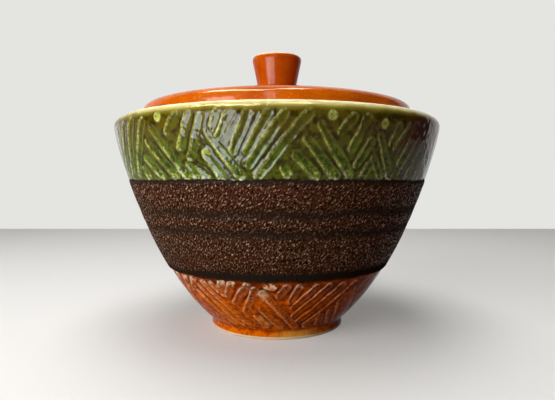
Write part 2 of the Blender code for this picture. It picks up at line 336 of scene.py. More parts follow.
def knob_path():
    """The knob from the glaze that runs out round its foot, up its flared side and over its top."""
    lid_top = np.array([0.0, LID_TOP])
    waist = lid_top + KNOB_WAIST
    shoulder = np.array([KNOB_RADIUS, KNOB_TOP - KNOB_SHOULDER - KNOB_TOP_RISE])
    lean = (shoulder - waist) / (shoulder - waist)[1]
    foot = cubic(lid_top + KNOB_FOOT, lid_top + KNOB_FOOT_PULL, waist - lean * KNOB_WAIST_PULL, waist)
    cap = np.array([KNOB_RADIUS - KNOB_SHOULDER_WIDTH, KNOB_TOP - KNOB_TOP_RISE])
    pulls = (CIRCLE_PULL * KNOB_SHOULDER * lean, CIRCLE_PULL * np.array([KNOB_SHOULDER_WIDTH, 0.0]))
    edge = cubic(shoulder, shoulder + pulls[0], cap + pulls[1], cap)
    top = cubic(cap, (cap[0] * 2 / 3, KNOB_TOP), (cap[0] / 3, KNOB_TOP), (AXIS_HOLE, KNOB_TOP))
    base = respaced([(AXIS_HOLE, foot[0, 1]), foot[0]], PLAIN_ROW)
    side = respaced([waist, shoulder], LIP_ROW)
    fine = LIP_ROW / 2
    return joined(base, respaced(foot, fine), side, respaced(edge, fine), respaced(top, LIP_ROW))


# Strokes, as (top angle, top height, low angle, low height), with the angles in degrees. Together they make
# a hatched zigzag: triangles of strokes that fall to the right, between triangles of rising strokes.
GREEN_STROKES = {
    "half_width": 0.00212,
    "relief": 1,
    "falling": [
        (-38, 0.0992, -27.5, 0.0795), (-41, 0.0938, -32, 0.0795), (-44, 0.0872, -38, 0.0795),
        (-46.5, 0.0825, -45, 0.0792), (-18.5, 0.0965, -10.5, 0.0795), (-20, 0.0875, -16, 0.0792),
        (-23, 0.0822, -21, 0.079), (-26, 0.0835, -24, 0.079), (11.5, 0.0988, 21.5, 0.0798),
        (8, 0.0932, 17, 0.0795), (5.5, 0.0872, 11, 0.0795), (2, 0.0822, 3.2, 0.0802),
        (30, 0.0952, 37, 0.0795), (29, 0.0862, 33, 0.0792),
    ],
    "rising": [
        (-72, 0.102, -81, 0.081), (-66, 0.102, -75, 0.08), (-60, 0.102, -69, 0.08),
        (-54, 0.102, -63.5, 0.079), (-48, 0.103, -57.5, 0.079), (-42, 0.1022, -51.5, 0.08),
        (-28, 0.104, -32, 0.0972), (-24, 0.1038, -28, 0.0908), (-20.5, 0.1022, -25, 0.087),
        (-15.5, 0.1035, -17.2, 0.0972), (-12, 0.1032, -16, 0.0942), (-7.5, 0.1032, -12.2, 0.089),
        (-2.2, 0.1028, -8, 0.089), (2, 0.103, -7.5, 0.0838), (8.2, 0.1032, -5.2, 0.0792),
        (20.5, 0.1022, 17.5, 0.0965), (25, 0.102, 21, 0.09), (27.2, 0.093, 23.5, 0.084),
        (28, 0.0835, 26.2, 0.0792), (36.8, 0.0995, 35, 0.093), (41.2, 0.1002, 37, 0.091),
        (45.2, 0.1012, 40, 0.085), (50.2, 0.1015, 41.5, 0.081), (54.8, 0.1025, 45.8, 0.079),
        (60, 0.1025, 52, 0.079),
    ],
    "dots": [(-34.8, 0.1035), (-19.8, 0.0882), (14.8, 0.1025), (31, 0.1002)],
}
RUST_STROKES = {
    "half_width": 0.00186,
    "relief": 1.6,
    "falling": [
        (-4.4, 0.0309, -1.8, 0.0308), (-32, 0.0305, -27, 0.0255), (-37, 0.0303, -19, 0.0094),
        (-41, 0.0282, -24.5, 0.0086), (-45, 0.025, -30.5, 0.0084), (-5.8, 0.0265, 13, 0.0075),
        (-8.2, 0.0182, 3.2, 0.0078), (-11.5, 0.014, -7, 0.0082), (27.5, 0.014, 30, 0.008),
        (33, 0.015, 39.5, 0.0078), (36.5, 0.021, 43.5, 0.009), (44, 0.027, 55, 0.01),
    ],
    "rising": [
        (-66, 0.032, -76, 0.012), (-58, 0.032, -67, 0.014), (-50, 0.032, -57, 0.017),
        (-43.5, 0.032, -48, 0.0255), (-25.8, 0.032, -28.8, 0.0265), (-20.8, 0.032, -25.2, 0.0248),
        (-13, 0.0315, -22.2, 0.0212), (-10, 0.029, -17.5, 0.0165), (4.5, 0.0305, 1.2, 0.0258),
        (10.2, 0.0305, 6.8, 0.0228), (18.2, 0.03, 9, 0.0198), (24.8, 0.03, 10, 0.0148),
        (32, 0.03, 13.8, 0.011), (40, 0.0295, 19.5, 0.0088), (52, 0.0315, 46.5, 0.0245),
    ],
    "dots": [(-6.8, 0.0272), (21, 0.0074)],
}

# The zigzag round the back, where the strokes are laid out by rule. Angles in degrees: how far a falling
# group's longest stroke runs, the pitch of its lower ends, and how far the rising strokes slant per metre.
GREEN_BACK = SimpleNamespace(
    start=84.0, end=272.0, groups=8, low=0.0795, fall_top=0.099, fall_drop=0.0055,
    run=11.0, pitch=6.0, rise_top=0.1028, rise_pitch=5.0, lean=330.0, seed=11,
)
RUST_BACK = SimpleNamespace(
    start=60.0, end=278.0, groups=6, low=0.008, fall_top=0.029, fall_drop=0.007,
    run=19.0, pitch=9.5, rise_top=0.0312, rise_pitch=7.5, lean=900.0, seed=23,
)
BLUNT, SLENDER = 1.0, 0.85
TOP_PITCH = 3.0
GROUP_GAP = 3.0
SHORTEST = 0.0042


def back_strokes(band):
    """Lines of the falling and the rising strokes round the back."""
    rng = np.random.default_rng(band.seed)
    falling, rising = [], []
    step = (band.end - band.start) / band.groups
    slope = band.run / (band.fall_top - band.low)
    for k in range(band.groups):
        start = band.start + step * (k + rng.uniform(0.0, 0.2))
        for j in range(rng.integers(3, 5)):
            top = band.fall_top - band.fall_drop * j + rng.uniform(-0.0006, 0.0006)
            low = band.low + rng.uniform(-0.0004, 0.0006)
            low_angle = start + band.run - band.pitch * j
            top_angle = min(start - TOP_PITCH * j + rng.uniform(-0.6, 0.6), low_angle - GROUP_GAP)
            falling.append((top_angle, max(top, low + SHORTEST), low_angle, low))
        end = band.start + step * (k + 1) - GROUP_GAP
        angle = start + 2 * GROUP_GAP
        while angle < end:
            top = band.rise_top + rng.uniform(-0.0012, 0.0006)
            room = angle - start - GROUP_GAP - slope * (band.fall_top - top)
            length = np.clip(room / (band.lean + slope), SHORTEST, top - band.low - 0.0005)
            rising.append((angle, top, angle - band.lean * length, top - length))
            angle += band.rise_pitch * rng.uniform(0.9, 1.1)
    return falling, rising


def all_strokes(front, back):
    """Every stroke of a band, as its angles, its heights and its half widths, each from top to lower end.

    A falling stroke is widest at its lower end, and a rising one at its top.
    """
    falling, rising = back_strokes(back)
    lines = [(line, SLENDER, BLUNT) for line in front["falling"] + falling]
    lines += [(line, BLUNT, SLENDER) for line in front["rising"] + rising]
    lines += [((*dot, *dot), BLUNT, BLUNT) for dot in front["dots"]]
    half = front["half_width"]
    return [(np.radians(line[::2]), line[1::2], (top * half, low * half)) for line, top, low in lines]


def ripple(angle, height, seed, waves, swing):
    """A smooth wandering value that closes on itself round the bowl. About that many waves fit round it."""
    rng = np.random.default_rng(seed)
    total = 0.0
    for _ in range(10):
        turns = rng.integers(waves // 2, waves + waves // 2)
        climb = rng.uniform(-1, 1) * waves / RIM_RADIUS
        total = total + np.sin(turns * angle + climb * height + rng.uniform(0, 2 * math.pi))
    return swing * total / math.sqrt(10)


def pressed(path, angle, strokes):
    """Where each point of the wall lies among the strokes: four arrays of rows by columns.

    They are its distance to the nearest stroke's edge, negative inside, how much further off the next
    stroke's edge is, how far over to the stroke's right it lies and how near to its lower end. The last two
    go from 0 to 1, and the last is higher for a dot. The angle and the integral of ds/radius are coordinates
    in which a straight line keeps its slant, and distances there times the radius are real ones.
    """
    radius, height = path[:, :1], path[:, 1]
    steps = np.hypot(*np.diff(path, axis=0).T)
    climb = np.concatenate([[0.0], np.cumsum(2 * steps / (path[1:, 0] + path[:-1, 0]))])
    edge = np.full((len(path), len(angle)), FAR)
    following, right, low = edge.copy(), np.zeros_like(edge), np.zeros_like(edge)
    sway = ripple(angle, height[:, None], 3, 40, 0.0035)
    for (a0, a1), heights, (w0, w1) in strokes:
        c0, c1 = np.interp(heights, height, climb)
        off = (angle - (a0 + a1) / 2 + math.pi) % (2 * math.pi) - math.pi
        near = np.nonzero(np.abs(off) < STROKE_REACH + abs(a1 - a0) / 2)[0]
        across = off[near] + sway[:, near] + (a1 - a0) / 2
        up = (climb - c0)[:, None]
        along = np.array([a1 - a0, c1 - c0])
        length = np.hypot(*along)
        share = np.clip((across * along[0] + up * along[1]) / max(length ** 2, 1e-12), 0.0, 1.0)
        share += 0.0 if length else DOT_MARK
        aside = (along[0] * up - along[1] * across) / length if length else across - DOT_LEAN
        width = w0 + (w1 - w0) * share
        away = radius * np.hypot(across - share * along[0], up - share * along[1]) - width
        block = np.ix_(np.arange(len(path)), near)
        closer = away < edge[block]
        following[block] = np.where(closer, edge[block], np.minimum(following[block], away))
        right[block] = np.where(closer, smooth(-0.6, 0.6, radius * aside / width), right[block])
        low[block] = np.where(closer, share, low[block])
        edge[block] = np.minimum(edge[block], away)
    return edge, following - edge, right, low


def relief_of(edge, beyond, right):
    """Height of the wall over the plain one: a ridge round each stroke, the cut in it, and valleys."""

    def sided(pair):
        return pair[0] + (pair[1] - pair[0]) * right

    ridge = np.exp(-(((edge + sided(RIDGE_INSET)) / sided(RIDGE_WIDTH)) ** 2))
    cut = smooth(0.0001, 1.0, -edge / sided(CUT_SLOPE))
    valley = np.exp(-((beyond / VALLEY_WIDTH) ** 2)) * smooth(0.0001, 0.0005, edge)
    valley *= 1 - smooth(0.0008, 0.0015, edge)
    return sided(RIDGE_HEIGHT) * ridge - sided(CUT_DEPTH) * cut - VALLEY_DEPTH * valley


def slip_cover(angle, height):
    """How far a point lies inside the dark slip, whose two edges wander."""
    low = RUST_TOP + ripple(angle, 0.0, 71, 22, 0.00026) + ripple(angle, 0.0, 72, 120, 0.00016)
    top = GREEN_BOTTOM + ripple(angle, 0.0, 73, 18, 0.00022) + ripple(angle, 0.0, 74, 140, 0.0002)
    return np.minimum(height - low, top - height)


def hatched_wall(path, columns):
    """Relief and attributes of the outer wall: both bands of strokes, the slip and thrown ware's waves."""
    angle = np.arange(columns) / columns * 2 * math.pi
    height = path[:, 1:] * np.ones(columns)
    rising = (np.arange(len(path)) < int(np.argmax(path[:, 1])))[:, None]
    values = {key: np.full(height.shape, plain) for key, plain in ATTRIBUTES.items()}
    cover = np.where(rising, slip_cover(angle, height), -FAR)
    relief = SLIP_THICKNESS * smooth(-0.0002, SLIP_EDGE - 0.0002, cover)
    relief *= 1 - (1 - SLIP_TOP_SHARE) * smooth(RUST_TOP, GREEN_BOTTOM, height)
    turn = np.degrees(angle + math.pi) % 360 - 180
    bands = ((RUST_STROKES, RUST_BACK, RUST_HATCH), (GREEN_STROKES, GREEN_BACK, GREEN_HATCH))
    for front, back, (low, high) in bands:
        rows = np.nonzero(rising[:, 0] & (path[:, 1] > low) & (path[:, 1] < high))[0]
        found = pressed(path[rows], angle, all_strokes(front, back))
        for key, value in zip(ATTRIBUTES, found):
            values[key][rows] = value
        bare = 1 - smooth(-0.0004, 0.0004, cover[rows])
        bare = bare * smooth(low, low + 0.001, height[rows]) * (1 - smooth(high - 0.001, high, height[rows]))
        lumps = ripple(angle, height[rows], 31, 260, 0.00004)
        for start, full, end, share in CALM_SIDES:
            hidden = smooth(start, full, turn) * smooth(end, end - (end - full) / 4, turn)
            bare *= 1 - share * hidden
        relief[rows] += bare * (front["relief"] * relief_of(*found[:3]) + lumps)
    streaks = sum(np.exp(-(((height - z) / STREAK_WIDTH) ** 2)) for z in STREAKS)
    lumps = ripple(angle, height, 41, 150, 0.00005) + ripple(angle, height, 43, 380, 0.00004)
    relief += smooth(0.0, 0.001, cover) * (lumps - STREAK_DEPTH * streaks)
    thrown = ripple(angle, height, 57, 5, 0.00012)
    relief += rising * thrown * smooth(0.004, 0.012, height) * (1 - smooth(0.094, RIM_WIDEST_HEIGHT, height))
    return values | {"relief": relief, "cover": cover}


def turned(name, parts, widest, attributes=()):
    """A closed body turned about Z. Each part is a path, its number of columns and its points' values."""
    places, faces, uvs = [], [], []
    stored = {key: [] for key in attributes}
    count, run, rings = 0, 0.0, []
    for path, columns, values in parts:
        turn = np.arange(columns) / columns * 2 * math.pi
        relief = values["relief"] if values else np.zeros((len(path), columns))
        out = normals(path)
        radius = np.minimum(path[:, :1] + out[:, :1] * relief, widest)
        height = path[:, 1:] + out[:, 1:] * relief
        across = [radius * np.sin(turn), -radius * np.cos(turn)]
        places.append(np.stack([*across, height], axis=2).reshape(-1, 3))
        for key in attributes:
            value = values[key] if values else np.full(relief.shape, ATTRIBUTES[key])
            stored[key].append(value.ravel())
        along = (run + run_of(path)) / (2 * math.pi * widest)
        rings += [(count + k * columns, columns, v) for k, v in enumerate(along)]
        count += relief.size
        run = along[-1] * 2 * math.pi * widest + PLAIN_ROW

    def corner(ring, k):
        first, columns, v = ring
        faces[-1].append(first + k % columns)
        uvs.append((k / columns, v))

    for below, above in zip(rings, rings[1:]):
        cells = min(below[1], above[1])
        low, high = below[1] // cells, above[1] // cells
        for k in range(cells):
            faces.append([])
            for j in range(low + 1):
                corner(below, k * low + j)
            for j in range(high, -1, -1):
                corner(above, k * high + j)
    for ring, order in ((rings[0], -1), (rings[-1], 1)):
        faces.append([])
        for k in range(ring[1])[::order]:
            corner(ring, k)
    mesh = bpy.data.meshes.new(name)
    mesh.from_pydata(np.concatenate(places), [], faces)
    layer = mesh.uv_layers.new(name="OFBake")
    layer.data.foreach_set("uv", np.array(uvs, np.float32).ravel())
    for key in attributes:
        attribute = mesh.attributes.new(key, "FLOAT", "POINT")
        attribute.data.foreach_set("value", np.concatenate(stored[key]).astype(np.float32))
    mesh.shade_smooth()
    return new_object(name, mesh)


# Materials


def feed(tree, socket, value):
    """Links a socket's value, or sets it."""
    if isinstance(value, bpy.types.NodeSocket):
        tree.links.new(value, socket)
    else:
        socket.default_value = value


def add_node(tree, kind, inputs=(), **settings):
    """A new node with its settings. Its inputs, given by place or by name, are linked or set."""
    node = tree.nodes.new("ShaderNode" + kind)
    for name, value in settings.items():
        setattr(node, name, value)
    for key, value in dict(inputs).items():
        feed(tree, node.inputs[key], value)
    return node


class Shader:
    """A material's nodes, with short ways to add them."""

    def __init__(self, name):
        self.material = bpy.data.materials.new(name)
        self.material.use_nodes = True
        self.tree = self.material.node_tree
        self.tree.nodes.clear()
        self.surface = self.add("BsdfPrincipled")
        self.add("OutputMaterial", {"Surface": self.surface.outputs["BSDF"]})
        self.place = self.add("TexCoord").outputs["Object"]
        self.x, self.y, self.z = self.add("SeparateXYZ", {0: self.place}).outputs

    def add(self, kind, inputs=(), **settings):
        return add_node(self.tree, kind, inputs, **settings)

    def attribute(self, name):
        return self.add("Attribute", attribute_name=name).outputs["Fac"]

    def math(self, operation, value, *others):
        """A value under an operation, which takes in the other values one after another."""
        for other in others or (0.0,):
            value = self.add("Math", {0: value, 1: other}, operation=operation).outputs[0]
        return value

    def plus(self, *values):
        return self.math("ADD", *values)

    def minus(self, first, second):
        return self.math("SUBTRACT", first, second)

    def times(self, *values):
        return self.math("MULTIPLY", *values)

    def most(self, *values):
        return self.math("MAXIMUM", *values)

    def span(self, first, second):
        """How far apart two values are."""
        return self.math("ABSOLUTE", self.minus(first, second))

    def blend(self, share, first, second):
        """Two values mixed by a share."""
        return self.plus(first, self.times(share, self.minus(second, first)))

    def mix(self, share, first, second):
        """Two colours mixed by a share."""
        inputs = {"Factor": share, 6: first, 7: second}
        return self.add("Mix", inputs, data_type="RGBA").outputs[2]

    def step(self, value, low, high, start=0.0, end=1.0):
        """A soft step from start to end as the value goes from low to high."""
        inputs = enumerate((value, low, high, start, end))
        return self.add("MapRange", inputs, interpolation_type="SMOOTHSTEP").outputs[0]

    def steps(self, *ramps):
        """The product of two or more soft steps."""
        return self.times(*(self.step(*ramp) for ramp in ramps))

    def noise(self, size, detail=2.0, roughness=0.5, distortion=0.0, place=None):
        """Noise whose features are about that size in metres, from 0 to 1."""
        inputs = {"Vector": place or self.place, "Scale": 1 / size, "Detail": detail}
        inputs |= {"Roughness": roughness, "Distortion": distortion}
        return self.add("TexNoise", inputs).outputs["Fac"]

    def slanted(self, slant, stretch, girth):
        """Coordinates round the wall and up it, drawn out along a slant that rises to the right."""
        turn = self.math("ARCTAN2", self.x, self.times(self.y, -1.0))
        out = self.times(turn, girth)
        rise, run = math.sin(slant), math.cos(slant)
        along = self.plus(self.times(out, run / stretch), self.times(self.z, rise / stretch))
        across = self.plus(self.times(self.z, run), self.times(out, -rise))
        return self.add("CombineXYZ", {0: along, 1: across}).outputs[0]

    def bump(self, height, distance, strength=1.0, under=None):
        """The normal of a height, over that of another bump where one is given."""
        inputs = {"Height": height, "Distance": distance, "Strength": strength}
        if under:
            inputs["Normal"] = under
        return self.add("Bump", inputs).outputs[0]

    def finish(self, colour, roughness, bump, shine=None):
        """Feeds the surface. A glaze is given a shine, and bare clay has the usual one."""
        inputs = {"Base Color": colour, "Roughness": roughness, "Normal": bump}
        if shine is not None:
            inputs |= {"IOR": GLAZE_IOR, "Specular IOR Level": shine}
        for name, value in inputs.items():
            feed(self.tree, self.surface.inputs[name], value)
        return self.material


CREAM = srgb(250, 240, 190)
DEEP_CREAM = srgb(226, 212, 158)
PALE_CREAM = srgb(250, 244, 206)
PALE_OLIVE = srgb(208, 196, 122)
OLIVE = srgb(134, 120, 44)
OLIVE_BROWN = srgb(94, 82, 8)
DARK_OLIVE = srgb(40, 32, 2)
MOSS = srgb(90, 98, 8)
GRASS_GREEN = srgb(94, 126, 22)
DARK_GREEN = srgb(34, 50, 2)
PALE_GREEN = srgb(212, 222, 116)
MILKY_GREEN = srgb(238, 246, 206)
RED_BROWN = srgb(96, 36, 2)
RUST = srgb(230, 108, 0)
DEEP_RUST = srgb(168, 64, 0)
DARK_RUST = srgb(96, 30, 0)
BRIGHT_RUST = srgb(232, 120, 6)
YELLOW_RUST = srgb(250, 186, 70)
PALE_RUST = srgb(246, 164, 82)
CREAM_RUST = srgb(252, 222, 184)
LID_RUST = srgb(196, 92, 0)
LID_DEEP_RUST = srgb(178, 76, 0)
LID_BRIGHT_RUST = srgb(232, 140, 40)
KNOB_RUST = srgb(186, 84, 0)
KNOB_DEEP_RUST = srgb(160, 60, 0)
SLIP = srgb(80, 47, 27)
DEEP_SLIP = srgb(25, 10, 4)
DARK_SLIP = srgb(40, 33, 27)
SLIP_GLINT = srgb(206, 168, 134)
RED_SLIP = srgb(92, 42, 20)
BROWN_SLIP = srgb(84, 50, 26)
CLAY = srgb(226, 200, 160)
DEEP_CLAY = srgb(196, 164, 122)
GLAZE_IOR = 1.4
WALL_ROUGHNESS = 0.07
LID_ROUGHNESS = 0.12
FOOT_ROUGHNESS = 0.14
CLAY_ROUGHNESS = 0.8
GLAZE_SHINE = 0.17
RUST_SHINE = 0.03
LID_SHINE = 0.32
KNOB_SHINE = 0.09

# Colours of the lip, as (height where each sets in, height from which it is full, colour)
LIP_COLOURS = ((0.1036, 0.1065, OLIVE), (0.1054, 0.1078, PALE_OLIVE), (0.1075, 0.1082, CREAM))

# Where the edge of the knob's top begins to turn paler and is palest, going outwards and up
PALE_OUTWARDS = (KNOB_RADIUS - 0.0042, KNOB_RADIUS - 0.0022)
PALE_UPWARDS = (KNOB_TOP - 0.0016, KNOB_TOP - 0.0007)


class Wall(Shader):
    """The outer wall's nodes: where a point lies among the strokes, and the noise that its coats share."""

    def __init__(self):
        super().__init__("wall_glaze")
        edge, self.beyond, self.right, self.low, self.cover = map(self.attribute, ATTRIBUTES)
        self.broad = self.noise(0.02)
        self.clouds = self.noise(0.008)
        self.fine = self.noise(0.0013, detail=3, roughness=0.6)
        self.cells = self.noise(0.003, distortion=0.8)
        self.wander = self.times(self.minus(self.noise(0.0028), 0.5), 0.0006)
        self.edge = self.plus(edge, self.wander)
        self.off = self.span(self.edge, -0.0002)
        middle = (RUST_TOP + GREEN_BOTTOM) / 2
        self.upper = self.step(self.z, middle - 0.001, middle + 0.001)
        self.slip_edge = self.step(self.plus(self.cover, self.times(self.wander, 1.5)), 0.0017, 0.0006)

        # Parts of a stroke: the cut inside it, the valley between it and the next, and its ridge
        self.inside = self.step(self.edge, -0.0002, -0.001)
        self.cut = self.times(self.inside, self.step(self.right, 0.15, 0.75, 0.35, 1))
        beside = ((self.edge, 0.0001, 0.0005), (self.edge, 0.0016, 0.0008))
        self.valley = self.steps(*beside, (self.beyond, 0.0016, 0.0004))
        self.ridge = self.ridges()

    def ridges(self):
        """The pale ridge on a stroke's left and the thin line all round it, broken up by noise: thin glaze
        with a painted highlight, strongest on the lit left.
        """
        edge, right = self.edge, self.right
        broad = self.steps((edge, 0.0003, -0.0002), (edge, -0.0017, -0.0005), (right, 0.65, 0.15))
        thin = self.steps((self.off, 0.00055, 0.0001), (right, 0.2, 0.8, 0.8, 0.12))
        breaks = self.steps((self.noise(0.0042), 0.32, 0.62, 0.25, 1), (self.fine, 0.3, 0.68, 0.15, 1))
        return self.times(self.most(broad, thin), breaks)


def green_glaze(w):
    """Green glaze: mossy low down, brown higher up, dark where it pooled, and pale over the ridges, partly
    as painted highlight.
    """
    depth = w.step(w.plus(w.z, w.times(w.clouds, 0.006)), 0.086, 0.104)
    ground = w.mix(depth, MOSS, OLIVE_BROWN)
    ground = w.mix(w.step(w.cells, 0.42, 0.66, 0, 0.75), ground, DARK_OLIVE)
    pooled = w.mix(w.step(w.cells, 0.4, 0.62, 0, 0.85), GRASS_GREEN, DARK_GREEN)
    pooled = w.mix(w.step(w.fine, 0.5, 0.68, 0, 0.7), pooled, DARK_GREEN)
    pooled = w.mix(w.times(depth, 0.75), pooled, OLIVE_BROWN)
    green = w.mix(w.cut, ground, pooled)
    green = w.mix(w.times(w.valley, 0.8), green, DARK_OLIVE)

    # Pale ridges, partly painted highlight, milky at the strokes' lower ends and faded by painted shade on
    # the far right, and filled dots
    shaded_right = w.steps((w.x, 0.05, 0.066), (w.y, -0.008, -0.016))
    pale = w.times(w.ridge, w.steps((w.low, 0.15, 0.9, 0.75, 1), (shaded_right, 0, 1, 1, 0.25)))
    tipped = w.steps((w.low, 0.66, 0.92), (w.z, 0.085, 0.081), (w.fine, 0.36, 0.54))
    green = w.mix(pale, green, w.mix(tipped, PALE_GREEN, MILKY_GREEN))
    milky = w.times(tipped, w.inside, w.step(w.noise(0.0016), 0.46, 0.62), 0.6)
    dotted = w.steps((w.low, 1.2, 1.4, 0, 0.65), (w.edge, 0.0003, -0.0008), (w.fine, 0.36, 0.58, 0.3, 1))
    green = w.mix(w.most(milky, dotted), green, PALE_GREEN)

    # Burnt patches round the back and on the far right, and the thin glaze on the lip
    burnt = w.steps((w.y, -0.03, 0.01), (w.broad, 0.46, 0.58, 0, 0.7))
    burnt = w.most(burnt, w.step(w.plus(w.x, w.times(w.clouds, 0.03)), 0.062, 0.076, 0, 0.85))
    green = w.mix(w.times(burnt, w.step(w.z, 0.088, 0.097)), green, RED_BROWN)
    lip = w.plus(w.z, w.step(w.clouds, 0.3, 0.7, -0.0003, 0.0003))
    for start, full, colour in LIP_COLOURS:
        green = w.mix(w.step(lip, start, full), green, colour)
    return green


def rust_glaze(w):
    """Rust glaze: darker near the slip and in the valleys, pale on the ridges, partly as painted highlight,
    and where it ran thin.
    """
    rust = w.mix(w.step(w.cells, 0.38, 0.66), RUST, DEEP_RUST)
    near_slip = w.steps((w.z, 0.022, 0.031), (w.clouds, 0.36, 0.6, 0.2, 0.75))
    rust = w.mix(near_slip, rust, DARK_RUST)
    mottled = w.steps((w.z, 0.006, 0.0085), (w.noise(0.0021), 0.46, 0.62, 0, 0.35))
    rust = w.mix(mottled, rust, DARK_RUST)
    rust = w.mix(w.times(w.cut, w.step(w.fine, 0.4, 0.75, 0, 0.7)), rust, BRIGHT_RUST)
    rust = w.mix(w.times(w.valley, 0.85), rust, DARK_RUST)
    # Painted shade: a dark line along each stroke's right edge, the side away from the light
    shaded = w.steps((w.off, 0.0008, 0.0001), (w.right, 0.45, 0.85, 0, 0.6))
    rust = w.mix(shaded, rust, DARK_RUST)

    # Ridges and the outline on a stroke's left, pale as thin glaze and painted highlight, grains in the cuts
    # and thin spots
    breaks = ((w.fine, 0.36, 0.58, 0.15, 1), (w.noise(0.0035), 0.38, 0.56, 0.25, 1))
    outline = w.steps((w.off, 0.0007, 0), *breaks, (w.right, 0.25, 0.75, 1, 0.05))
    grains = w.times(w.inside, w.step(w.noise(0.001), 0.56, 0.66, 0, 0.35))
    pale = w.mix(w.step(w.z, 0.018, 0.03, 0, 0.8), PALE_RUST, CREAM_RUST)
    rust = w.mix(w.most(grains, w.ridge, outline), rust, pale)
    in_front = w.step(w.y, 0, -0.02)
    for x, z, size in THIN_SPOTS:
        away = w.plus(w.span(w.x, x), w.span(w.z, z), w.step(w.fine, 0.3, 0.7, -0.0006, 0.0006))
        rust = w.mix(w.times(in_front, w.step(away, size, 0)), rust, pale)

    # A yellow patch on the foot, cream tips under the slip, thin glaze with a painted highlight strongest on
    # the left, and bare clay below
    patch = w.plus(w.span(w.x, 0.01), w.times(w.clouds, 0.01))
    patch = w.times(w.steps((patch, 0.02, 0.008), (w.z, 0.006, 0.003)), in_front, 0.55)
    rust = w.mix(patch, rust, YELLOW_RUST)
    breaks = ((w.noise(0.0015, detail=1), 0.46, 0.58), (w.x, -0.01, 0.02, 1, 0.45))
    tips = w.steps((w.cover, -0.0036, -0.0012), (w.edge, 0.0004, -0.0001), *breaks)
    rust = w.mix(tips, rust, CREAM_RUST)
    return w.mix(w.step(w.z, BARE_CLAY_HEIGHT, BARE_CLAY_HEIGHT + 0.0003), CLAY, rust)


def dark_slip(w):
    """Dark slip, wrinkled as it dried and smooth where it was wiped: its colour, its wrinkles' height, and
    how much of them is left, from 0 to 1.
    """
    slant = w.slanted(math.radians(48), 1.9, 0.075)
    crinkle = w.noise(0.00062, detail=1, distortion=0.6, place=slant)
    plain = w.noise(0.00066, detail=1, distortion=0.6)
    seam = w.steps((w.y, 0.03, 0.05), (w.span(w.x, 0), 0.02, 0.01))
    wrinkle = w.blend(seam, crinkle, plain)
    # Painted shade: the slip is darker in the wrinkles' hollows
    slip = w.mix(w.step(wrinkle, 0.37, 0.5), DEEP_SLIP, SLIP)
    # Painted glints: pale crests of the wrinkles, fewer low down on the left
    quiet = w.steps((w.x, -0.018, -0.046), (w.z, 0.053, 0.04))
    specks = w.steps((wrinkle, 0.6, 0.7, 0, 0.9), (quiet, 0, 1, 1, 0.4))
    slip = w.mix(specks, slip, SLIP_GLINT)
    rusty = w.steps((w.z, 0.064, 0.077), (w.broad, 0.42, 0.62, 0, 0.25))
    slip = w.mix(rusty, slip, RED_SLIP)

    # Smooth at both edges and in the streaks
    low_edge = w.plus(w.z, w.step(w.x, -0.06, -0.02, 0.0026, 0))
    top_edge = w.plus(w.z, w.step(w.clouds, 0.2, 0.8, -0.0008, 0.0008))
    left = w.steps((low_edge, 0.0358, 0.0394), (top_edge, 0.0768, 0.0748, 0.25, 1))
    undulating = w.plus(w.z, w.step(w.broad, 0.2, 0.8, -0.0009, 0.0009))
    fade = w.step(w.x, -0.066, -0.046, 0.75, 0.18)
    for streak in STREAKS:
        left = w.times(left, w.step(w.span(undulating, streak), 0, 1.5 * STREAK_WIDTH, fade, 1))
    slip = w.mix(left, DARK_SLIP, slip)
    slip = w.mix(w.times(w.slip_edge, 0.85), slip, w.mix(w.upper, BROWN_SLIP, DARK_SLIP))
    return slip, wrinkle, left


def wall_glaze():
    """The bowl's outside and lip: green glaze over strokes, dark slip, and rust glaze over strokes."""
    w = Wall()
    slip, wrinkle, left = dark_slip(w)
    in_slip = w.step(w.plus(w.cover, w.times(w.wander, 0.6)), -0.0002, 0.0002)
    colour = w.mix(in_slip, w.mix(w.upper, rust_glaze(w), green_glaze(w)), slip)
    gloss = w.plus(WALL_ROUGHNESS, w.step(w.fine, 0.4, 0.8, 0, 0.05))
    dull = w.times(in_slip, w.step(w.slip_edge, 0, 1, 1, 0.55))
    roughness = w.blend(dull, gloss, w.step(left, 0.2, 1, 0.5, 0.32))
    height = w.times(wrinkle, in_slip, w.step(w.slip_edge, 0, 1, 1, 0.3), left)
    wavy = w.times(w.noise(0.0048, detail=1), w.minus(1, in_slip))
    bump = w.bump(wavy, 0.0006, 0.8, w.bump(height, 0.0011))
    shine = w.step(w.upper, 0, 1, RUST_SHINE, GLAZE_SHINE)
    shine = w.blend(in_slip, shine, w.times(w.step(wrinkle, 0.54, 0.66, 0, 0.4), left))
    return w.finish(colour, roughness, bump, shine)


def plain_glaze(name, base, deep, pale, roughness, shine, pale_edge=False):
    """A gloss glaze with soft clouds, fine specks and a faint turning texture, and the knob's paler edge."""
    s = Shader(name)
    colour = s.mix(s.step(s.noise(0.014, detail=3), 0.35, 0.7), base, deep)
    colour = s.mix(s.step(s.noise(0.0011), 0.58, 0.74, 0, 0.45), colour, pale)
    if pale_edge:
        # The outer edge of the knob's top turns paler
        radius = s.math("SQRT", s.plus(s.times(s.x, s.x), s.times(s.y, s.y)))
        thin = s.steps((radius, *PALE_OUTWARDS), (s.z, *PALE_UPWARDS))
        colour = s.mix(s.times(thin, 0.8), colour, CREAM_RUST)
    flat = s.add("Mapping", {"Vector": s.place, "Scale": (0.15, 0.15, 2.5)}).outputs[0]
    rings = s.bump(s.noise(0.004, place=flat), 0.0003, 0.35)
    bump = s.bump(s.noise(0.003), 0.0002, 0.35, rings)
    return s.finish(colour, roughness, bump, shine)


def bare_clay():
    s = Shader("bare_clay")
    grain = s.noise(0.0008, detail=4)
    return s.finish(s.mix(grain, CLAY, DEEP_CLAY), CLAY_ROUGHNESS, s.bump(grain, 0.0003))


